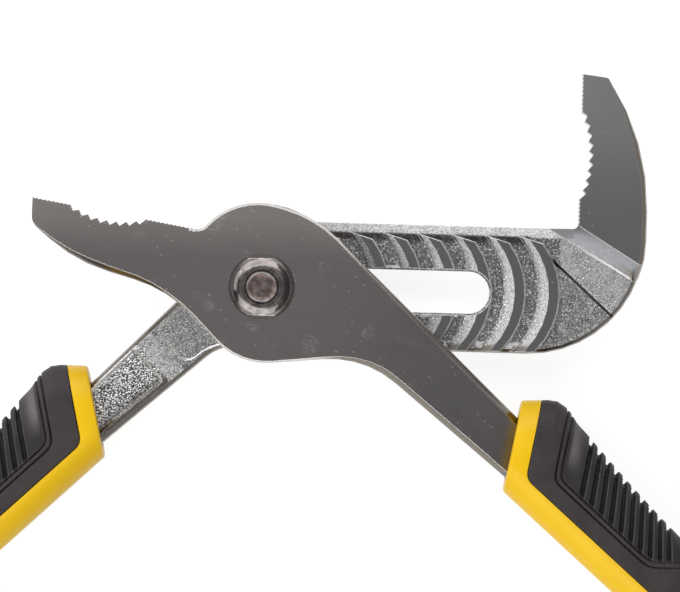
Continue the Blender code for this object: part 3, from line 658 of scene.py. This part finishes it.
def forging_zones(finish, handle, coarse):
    """Where each finish of the slotted lever is, as masks by name."""
    along, across, height = finish.axes()
    upward = finish.upward()
    front = finish.past(upward, -0.2, 0.1)
    flat = finish.spread(upward, 0.985, 0.998)
    body = finish.both(finish.past(along, BODY_START, 0.0010), finish.short(along, BODY_END, 0.0005))
    on_root = finish.past(along, JAW_ROOT, 0.0005)
    on_pad = finish.short(along, PAD_END, 0.0020)

    # Smooth steel: the jaw, the lands, rubbed off unevenly towards the handle, and the ramp
    jaw = finish.both(on_root, finish.past(height, JAW_LEVEL, 0.00015))
    patchy = finish.math("ADD", along, finish.vary(coarse, -0.003, 0.003))
    land = finish.both(finish.past(patchy, -0.0070, 0.0060), finish.short(along, BODY_END, 0.0005), flat,
                       finish.past(height, LAND_LEVEL - 0.00015, 0.00005))
    incline = finish.past(finish.toward(finish.facing, RAMP_WAY + 180.0), 0.76, 0.04)

    # Pebbled plating: the rack, the rail above it, its slopes, and the shadow under the rail
    rack = finish.both(body, front, finish.short(along, 0.0720, 0.0005))
    rail = finish.both(body, front, finish.past(across, RAIL_EDGE, 0.0002))
    slope = finish.both(body, finish.short(upward, 0.915, 0.035), finish.past(upward, 0.575, 0.075),
                        finish.past(height, FLOOR_LEVEL + 0.0004, 0.0007))
    shaded = finish.both(body, front, finish.past(across, 0.0120, 0.0008),
                         finish.short(across, 0.0140, 0.0002),
                         finish.short(height, FLOOR_LEVEL + 0.0004, 0.0002))

    # The jaw's root: painted shade along the crease, and the paler plating at its foot
    to_crease = finish.toward(finish.place, CREASE_WAY)
    crease = finish.both(on_root, finish.short(upward, 0.925, 0.025), front,
                         finish.past(to_crease, CREASE_START, 0.0001),
                         finish.short(to_crease, CREASE_END, 0.0001))
    foot = finish.both(on_root, finish.past(to_crease, CREASE_END - 0.0002, 0.0003))

    # The handle's shank: its joggle, and the hammered trough between a painted lit side and a painted shaded
    # side
    reach = finish.dot(finish.place, (*handle.along, 0.0))
    aside = finish.dot(finish.place, (*handle.out, 0.0))
    taper = finish.part(finish.math("SUBTRACT", reach, handle.start), math.tan(math.radians(SHANK_TAPER)))
    from_inner = finish.math("SUBTRACT", aside, finish.math("ADD", taper, handle.offset + SHANK_INNER))
    from_outer = finish.math("SUBTRACT", handle.offset + SHANK_OUTER, finish.math("ADD", taper, aside))
    shank = finish.both(front, finish.past(reach, SHANK_START, 0.0002))
    joggle = finish.both(finish.past(reach, JOGGLE_START, 0.0004), finish.short(reach, SHANK_START, 0.0010))
    in_rim = finish.past(from_outer, 0.00085, 0.00015)
    trough = finish.both(shank, finish.past(from_inner, 0.00175, 0.00015), in_rim)
    trough_end = finish.both(trough, finish.short(reach, TROUGH_START, 0.0002),
                             finish.short(upward, 0.95, 0.02))
    lit_side = finish.both(shank, finish.short(from_outer, 0.0018, 0.0006), in_rim)
    dark_side = finish.both(shank, finish.short(from_inner, 0.0032, 0.0016))
    # The pad's edge, which gets a painted highlight line
    pad_edge = finish.both(on_pad, finish.short(upward, 0.85, 0.05), finish.short(reach, 0.02725, 0.00025),
                           finish.past(finish.toward(finish.facing, -30.0), 0.3, 0.1),
                           finish.past(height, LAND_LEVEL - 0.00035, 0.00005))

    # Painted dark reflection on the steep outer sides
    heel = finish.both(finish.past(along, HEEL_AT, 0.00025),
                       finish.short(finish.toward(finish.facing, 180.0), 0.25, 0.05))
    under_heel = finish.both(on_root, finish.short(across, HEEL_EDGE, 0.0005),
                             finish.past(finish.toward(finish.facing, -70.0), 0.4, 0.1))
    outside = finish.either(finish.short(across, BODY_EDGE, 0.0005), on_pad, heel, under_heel)
    band = finish.both(finish.steep(), outside, finish.off(trough), finish.off(pad_edge))

    # Painted highlights: bright lines along the ramp's foot and the edges of the rack's floor
    from_foot = finish.math("SUBTRACT", finish.toward(finish.place, RAMP_WAY), RAMP_FOOT)
    ramp_edge = finish.both(front, finish.short(finish.unsigned(from_foot), 0.0002, 0.0001),
                            finish.spread(along, BODY_END, BODY_END + 0.0100, 0.0, 0.8),
                            finish.short(along, RAMP_END, 0.0004))
    by_slot = finish.both(finish.short(finish.unsigned(across), SLOT_EDGE, 0.00015),
                          finish.short(along, GLINT_END, 0.0005))
    by_side = finish.both(finish.short(across, BODY_EDGE + 0.00075, 0.00015),
                          finish.short(along, JAW_ROOT - 0.0010, 0.0005))
    floor_edge = finish.both(body, flat, finish.either(by_slot, by_side),
                             finish.short(height, FLOOR_LEVEL + 0.00025, 0.00005),
                             finish.spread(coarse, 0.44, 0.52, 0.0, 0.9))

    # Where edges are worn and get painted edge highlights: not on the jaw's toothed face, the shank's front
    # and the jaw's tip
    off_face = finish.either(finish.past(along, 0.0793, 0.0003), finish.short(across, 0.0170, 0.0005))
    on_shank = finish.both(finish.past(reach, SHANK_START - 0.0020, 0.0002),
                           finish.past(from_inner, 0.00125, 0.00015),
                           finish.past(from_outer, 0.0006, 0.0001))
    edge_wear_and_highlight = finish.both(off_face, finish.off(on_shank), finish.short(across, JAW_TIP, 0.00025))
    return SimpleNamespace(
        front=front, jaw=jaw, land=land, incline=incline, rack=rack, rail=rail, slope=slope, shaded=shaded,
        crease=crease, foot=foot, joggle=joggle, trough=trough, trough_end=trough_end, lit_side=lit_side,
        dark_side=dark_side, pad_edge=pad_edge, band=band, glint=finish.either(floor_edge, ramp_edge),
        edge_wear_and_highlight=edge_wear_and_highlight)


def plated_forging(name, handle):
    """The slotted lever: pebbled plating on the forged skin, smooth steel on the lands, ramp and jaw."""
    finish = Finish(name, 0.3, 1.0)
    pebble = finish.noise(finish.place, 2700.0, 1.0)
    hammered = finish.noise(finish.place, 2400.0, 1.0)
    coarse = finish.noise(finish.place, 420.0, 2.0)
    cloud = finish.noise(finish.place, 40.0, 3.0)
    lines = finish.noise(finish.stretched((2400.0, 40.0, 40.0), 20.0), 1.0, 3.0)
    zone = forging_zones(finish, handle, coarse)
    bright = finish.either(zone.slope, zone.rail)
    polished = finish.either(zone.land, zone.jaw, zone.incline)

    # Pebbled plating, paler at the crease's foot and the joggle, deeper in the rack; satin on the slopes and
    # the rail, painted lighter there as if lit
    tone = finish.mix(finish.spread(pebble, 0.46, 0.66), (0.34, 0.34, 0.345, 1), (0.88, 0.88, 0.88, 1))
    clear = finish.mix(finish.spread(pebble, 0.42, 0.60), (0.62, 0.62, 0.63, 1), (0.98, 0.98, 0.98, 1))
    tone = finish.mix(finish.both(zone.front, finish.either(zone.foot, zone.joggle)), tone, clear)
    deep = finish.mix(finish.spread(pebble, 0.52, 0.68), (0.26, 0.255, 0.255, 1), (0.95, 0.95, 0.95, 1))
    tone = finish.mix(zone.rack, tone, deep)
    lit_satin = finish.mix(finish.spread(pebble, 0.32, 0.60), (0.31, 0.31, 0.315, 1), (0.70, 0.70, 0.70, 1))
    lit_satin = finish.mix(finish.part(zone.rail, 0.75), lit_satin, clear)
    tone = finish.mix(bright, tone, lit_satin)

    # The shank, its painted lit and shaded sides, and the painted shadow under the rail
    beaten = finish.mix(finish.spread(hammered, 0.44, 0.58), (0.13, 0.13, 0.135, 1), BRIGHT_EDGE)
    tone = finish.mix(zone.trough, tone, beaten)
    tone = finish.mix(finish.part(zone.lit_side, 0.8), tone, BRIGHT_EDGE)
    tone = finish.mix(finish.part(zone.dark_side, 0.8), tone, PAINTED_SIDE_SHADE)
    tone = finish.mix(zone.trough_end, tone, (0.45, 0.45, 0.45, 1))
    tone = finish.mix(finish.part(zone.shaded, 0.8), tone, (0.05, 0.042, 0.036, 1))

    # Smooth steel, on the jaw painted paler towards its tip as a reflection gradient
    across = finish.axes()[1]
    smooth = finish.mix(cloud, (0.27, 0.27, 0.275, 1), (0.33, 0.33, 0.335, 1))
    painted_jaw_gradient = finish.mix(finish.spread(across, 0.012, 0.052), (0.31, 0.31, 0.318, 1), (0.54, 0.54, 0.545, 1))
    painted_jaw_gradient = finish.mix(finish.spread(cloud, 0.35, 0.65, 0.0, 0.3), painted_jaw_gradient, (0.40, 0.40, 0.405, 1))
    smooth = finish.mix(zone.jaw, smooth, painted_jaw_gradient)
    smooth = finish.mix(finish.part(finish.nicks(260.0, 0.085), 0.5), smooth, (0.75, 0.75, 0.75, 1))
    tone = finish.mix(polished, tone, smooth)
    tone = finish.mix(zone.incline, tone, (0.30, 0.305, 0.318, 1))

    # Painted dark reflection on the steep sides, painted shade in the crease, painted highlight lines, and
    # worn edges with painted edge highlights
    tone = finish.mix(zone.band, tone, PAINTED_SIDE_SHADE)
    tone = finish.mix(zone.crease, tone, (0.045, 0.040, 0.036, 1))
    tone = finish.mix(finish.either(zone.pad_edge, zone.glint), tone, BRIGHT_EDGE)
    worn_and_lit = finish.both(finish.edges(), zone.edge_wear_and_highlight, 0.85)
    finish.feed("Base Color", finish.mix(worn_and_lit, tone, BRIGHT_EDGE))
    lit = finish.either(bright, zone.glint, finish.part(worn_and_lit, 0.6))
    finish.feed("Metallic", finish.spread(lit, 0.0, 1.0, 1.0, 0.4))

    rough = finish.blend(polished, finish.vary(coarse, 0.22, 0.32), finish.vary(lines, 0.25, 0.27))
    finish.feed("Roughness", finish.blend(bright, rough, 0.5))
    grains = finish.blend(zone.trough, pebble, finish.part(hammered, 1.5))
    even = finish.either(polished, zone.band, zone.dark_side)
    relief = finish.blend(even, grains, finish.part(lines, 0.002))
    finish.feed("Normal", finish.bump(relief, 0.00016, 0.9, finish.eased_normal()))
    return finish.material


def bright_steel(name, tint, roughness, rim, shine):
    """Small steel pieces on the bolt's axis: plating with wear, painted shade to the sides, a painted
    highlight ring, and flats with wear and painted highlights.

    The ring has the rim's radius and as much shine as given.
    """
    finish = Finish(name, roughness, 1.0)
    wear = finish.noise(finish.place, 520.0, 4.0, 0.6)
    fine = finish.noise(finish.place, 1800.0, 2.0)
    worn_off, dark = (tuple(c * share for c in tint) + (1,) for share in (0.6, 0.35))
    sideways, endways, height = finish.axes()
    sideways, endways = finish.unsigned(sideways), finish.unsigned(endways)
    outer_end = finish.past(height, NUT_LEVEL, 0.00025)
    base = finish.mix(finish.spread(wear, 0.35, 0.65), worn_off, tint + (1,))
    # Painted shade to the sides of the outer end
    base = finish.mix(finish.both(outer_end, finish.past(sideways, 0.0051, 0.0011)), base, dark)
    # The ring: a painted highlight at the rim's radius, stronger towards either end in Y
    from_rim = finish.unsigned(finish.math("SUBTRACT", finish.from_axis(), rim))
    ring = finish.both(outer_end, finish.spread(from_rim, 0.0002, 0.0001, 0.0, shine),
                       finish.spread(endways, 0.0008, 0.0030, 0.35, 1.0))
    base = finish.mix(ring, base, (0.95, 0.93, 0.90, 1))
    # Flats with wear and painted highlights along them
    worn_and_lit = finish.both(outer_end, finish.past(finish.upward(), 0.15, 0.05),
                       finish.past(endways, 0.0067, 0.0001), finish.spread(wear, 0.40, 0.60, 0.25, 0.9))
    finish.feed("Base Color", finish.mix(worn_and_lit, base, WORN_LIT_EDGE))
    finish.feed("Metallic", finish.spread(worn_and_lit, 0.0, 1.0, 1.0, 0.3))
    finish.feed("Roughness", finish.vary(wear, roughness * 0.7, roughness * 1.4))
    finish.feed("Normal", finish.bump(fine, 0.00003, 0.35))
    return finish.material


def yellow_plastic(name):
    """Hard satin moulding: slight mottle, a fine moulded grain and small scuffs."""
    finish = Finish(name, 0.36, 0.0)
    finish.shader.inputs["Specular IOR Level"].default_value = 0.3
    mottle = finish.noise(finish.place, 55.0, 3.0)
    grain = finish.noise(finish.place, 2200.0, 2.0)
    scuff = finish.noise(finish.stretched((120.0, 900.0, 300.0), 35.0), 1.0, 3.0)
    scuff = finish.part(finish.past(scuff, 0.68, 0.06), 0.2)
    base = finish.mix(finish.vary(mottle), (0.90, 0.54, 0.004, 1), (0.93, 0.58, 0.010, 1))
    finish.feed("Base Color", finish.mix(scuff, base, (0.94, 0.68, 0.10, 1)))
    finish.feed("Roughness", finish.vary(mottle, 0.31, 0.42))
    finish.feed("Normal", finish.bump(grain, 0.00004, 0.4))
    return finish.material


def black_rubber(name):
    """Soft matt overmould: fine leathery grain, dusty spots, a darker panel with painted shade in its grooves
    and rib gaps, painted highlight lines along the ribs, and a painted sheen on the thumb rest.
    """
    finish = Finish(name, 0.6, 0.0)
    finish.shader.inputs["Specular IOR Level"].default_value = 0.38
    panel, rubbed_sheen, rib = (finish.node("ShaderNodeAttribute", {}, attribute_name=look).outputs["Fac"]
                          for look in ("panel", "rubbed_sheen", "rib"))
    mottle = finish.noise(finish.place, 120.0, 4.0, 0.6)
    grain = finish.cells(finish.place, 2400.0)
    fine = finish.noise(finish.place, 3800.0, 2.0)
    dust = finish.past(finish.noise(finish.place, 900.0, 3.0, 0.7), 0.69, 0.09)
    base = finish.mix(finish.vary(mottle), (0.0325, 0.0262, 0.0260, 1), (0.0470, 0.0385, 0.0380, 1))
    base = finish.mix(finish.part(dust, 0.35), base, (0.10, 0.095, 0.095, 1))
    # A darker panel, and painted shade in the frame's grooves and the gaps between ribs
    base = finish.mix(panel, base, (0.011, 0.0095, 0.010, 1))
    # Painted highlight lines along the ribs' edges
    nearest = finish.math("MINIMUM", finish.math("MAXIMUM", finish.math("ROUND", rib), 0.0), RIBS - 1)
    away = finish.unsigned(finish.math("SUBTRACT", rib, nearest))
    from_edge = finish.unsigned(finish.math("SUBTRACT", away, GAP_FLOOR + GAP_WALL))
    rib_edge = finish.both(finish.short(from_edge, 0.05, 0.03), finish.spread(panel, 0.35, 0.5, 0.0, 0.6))
    base = finish.mix(rib_edge, base, (0.085, 0.076, 0.075, 1))
    # The thumb rest, worn smooth, with a painted sheen
    finish.feed("Base Color", finish.mix(finish.both(rubbed_sheen, fine), base, (0.26, 0.24, 0.24, 1)))
    finish.feed("Roughness", finish.vary(mottle, 0.52, 0.68))
    finish.feed("Normal", finish.bump(finish.math("ADD", grain, fine), 0.00005, 0.5))
    return finish.material


def assign(obj, material):
    """Set a piece's only material."""
    obj.data.materials.clear()
    obj.data.materials.append(material)


def make_floor():
    """The bench: a pale floor that stays near white to the camera and keeps a soft shadow."""
    mesh = bpy.data.meshes.new("bench")
    signs = ((-1, -1), (1, -1), (1, 1), (-1, 1))
    corners = [(x * BENCH_HALF, y * BENCH_HALF, BENCH_LEVEL) for x, y in signs]
    mesh.from_pydata(corners, [], [(0, 1, 2, 3)])
    floor = bpy.data.objects.new("bench", mesh)
    bpy.context.scene.collection.objects.link(floor)
    finish = Finish("bench", 0.9, 0.0)
    finish.shader.inputs["Base Color"].default_value = BENCH_TONE
    finish.shader.inputs["Specular IOR Level"].default_value = 0.0
    rays = finish.tree.nodes.new("ShaderNodeLightPath").outputs
    seen = finish.either(rays["Is Camera Ray"], rays["Is Glossy Ray"], rays["Is Transmission Ray"])
    finish.shader.inputs["Emission Color"].default_value = (1, 1, 1, 1)
    finish.feed("Emission Strength", finish.part(seen, BENCH_GLOW))
    assign(floor, finish.material)


def make_world():
    """Soft light from all round, a little stronger overhead, and a backdrop that looks white."""
    world = bpy.data.worlds.new("studio")
    world.use_nodes = True
    bpy.context.scene.world = world
    tree = world.node_tree
    back = tree.nodes["Background"]
    back.inputs["Color"].default_value = (1, 1, 1, 1)
    coord = tree.nodes.new("ShaderNodeTexCoord")
    split = tree.nodes.new("ShaderNodeSeparateXYZ")
    tree.links.new(coord.outputs["Generated"], split.inputs[0])
    # Each level has a range of heights in the sky, and the strengths at its two ends
    levels = []
    for settings in ((0.30, 0.85, 0.24, 0.30), (0.08, 0.24, 1.0, 0.0)):
        level = tree.nodes.new("ShaderNodeMapRange")
        level.interpolation_type = "SMOOTHSTEP"
        for key, value in zip(("From Min", "From Max", "To Min", "To Max"), settings):
            level.inputs[key].default_value = value
        tree.links.new(split.outputs["Z"], level.inputs["Value"])
        levels.append(level.outputs[0])
    soft, backdrop = levels
    rays = tree.nodes.new("ShaderNodeLightPath")
    for kind in ("Is Camera Ray", "Is Glossy Ray", "Is Transmission Ray"):
        seen = tree.nodes.new("ShaderNodeMath")
        seen.operation = "MULTIPLY"
        tree.links.new(rays.outputs[kind], seen.inputs[0])
        tree.links.new(backdrop, seen.inputs[1])
        pick = tree.nodes.new("ShaderNodeMix")
        pick.inputs[3].default_value = 1.0
        tree.links.new(seen.outputs[0], pick.inputs[0])
        tree.links.new(soft, pick.inputs[2])
        soft = pick.outputs[0]
    tree.links.new(soft, back.inputs["Strength"])


def add_lamp(name, place, aim, size, power):
    """A soft rectangular lamp at a place, turned to a point."""
    data = bpy.data.lights.new(name, "AREA")
    data.shape = "RECTANGLE"
    data.size, data.size_y = size
    data.energy = power
    lamp = bpy.data.objects.new(name, data)
    bpy.context.scene.collection.objects.link(lamp)
    lamp.location = place
    lamp.rotation_euler = (Vector(aim) - Vector(place)).to_track_quat("-Z", "Y").to_euler()


def make_camera():
    """Straight above the pliers, turned as the photo is."""
    data = bpy.data.cameras.new("camera")
    data.lens = data.sensor_width * VIEW_DISTANCE / VIEW_WIDTH
    camera = bpy.data.objects.new("camera", data)
    bpy.context.scene.collection.objects.link(camera)
    camera.location = (*VIEW_CENTRE, VIEW_LEVEL + VIEW_DISTANCE)
    camera.rotation_euler = (0, 0, math.radians(VIEW_TURN))
    bpy.context.scene.camera = camera


for leftover in list(bpy.data.objects):
    bpy.data.objects.remove(leftover, do_unlink=True)
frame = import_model()
nodes = frame["nodes"]
make_camera()

# The handles, as in the CAD model
handles = {
    "slotted": Handle(angle=-136.6, start=0.0557, offset=-0.0053, side=-1),
    "tongue": Handle(angle=-121.7 + TONGUE_TURN, start=0.0763, offset=0.0033, side=1),
}
rubber, plastic = black_rubber("cover_rubber"), yellow_plastic("sleeve_plastic")
for side, handle in handles.items():
    cover = make_cover(f"{side}_ribbed_cover", handle)
    assign(cover, rubber)
    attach(cover, f"{side}_lever")
    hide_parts(f"{side}_grip_cover")
    assign(nodes[f"{side}_grip_sleeve"], plastic)

assign(nodes["slotted_lever"], plated_forging("plated_forging", handles["slotted"]))
assign(nodes["tongue_lever"], polished_steel("polished_steel", handles["tongue"]))
assign(nodes["pivot_nut"],
       bright_steel("nut_plating", tint=(0.31, 0.277, 0.275), roughness=0.14, rim=0.0052, shine=0.3))
assign(nodes["pivot_bolt"],
       bright_steel("bolt_steel", tint=(0.39, 0.31, 0.29), roughness=0.30, rim=0.0034, shine=0.9))
for name in ("tongue_lever", "pivot_nut", "pivot_bolt", "slotted_grip_sleeve", "tongue_grip_sleeve"):
    smooth_by_angle(nodes[name], SMOOTH_ANGLE)
smooth_by_angle(nodes["slotted_lever"], FORGING_ANGLE)

make_floor()
make_world()
add_lamp("upper_softbox", place=(-0.08, 0.50, 0.42), aim=(0.02, 0.0, 0.0), size=(1.1, 0.55), power=3.3)
add_lamp("lower_softbox", place=(-0.12, -0.50, 0.42), aim=(0.02, 0.0, 0.0), size=(1.1, 0.55), power=3.3)
add_lamp("left_softbox", place=(-0.60, 0.15, 0.34), aim=(0.0, 0.0, 0.0), size=(0.5, 0.30), power=1.2)

scene = bpy.context.scene
scene.view_settings.view_transform = "Standard"
